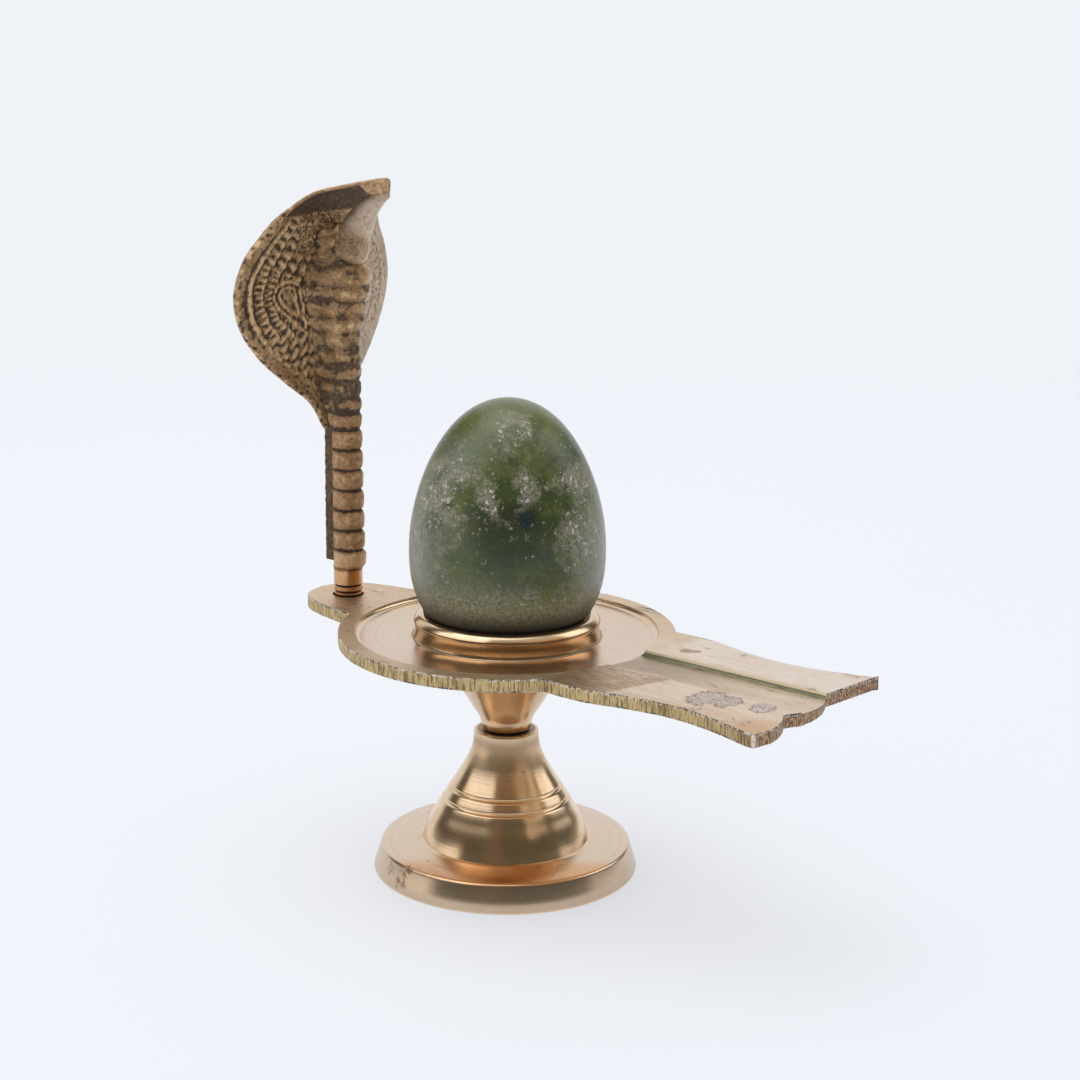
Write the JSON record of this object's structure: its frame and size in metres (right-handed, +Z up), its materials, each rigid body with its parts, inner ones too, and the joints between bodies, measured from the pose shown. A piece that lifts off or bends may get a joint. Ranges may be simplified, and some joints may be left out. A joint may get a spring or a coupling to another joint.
{
  "type": "shiva lingam stone on stand",
  "caption": "Egg-shaped polished green stone seated in a brass yoni tray with a channelled spout, on a turned brass foot, with a spread-hood cobra rising behind it.",
  "frame": {"origin": "middle of the flat underside of the foot", "axes": "+Z up along the axis of the foot and stone, +X along the tray's spout away from the cobra, +Y across the spout"},
  "size_m": [0.1185, 0.0624, 0.1272],
  "materials": {
    "green_stone": "polished mottled olive-green stone with pale specks",
    "tray_brass": "worn and partly turned brass with sawn edges",
    "turned_brass": "polished turned brass",
    "cast_brass": "rough cast brass darkened in the hollows"
  },
  "bodies": {
    "root": {"lingam_stone": "green_stone", "tray": "tray_brass", "foot": "turned_brass", "cobra": "cast_brass"}
  },
  "joints": []
}
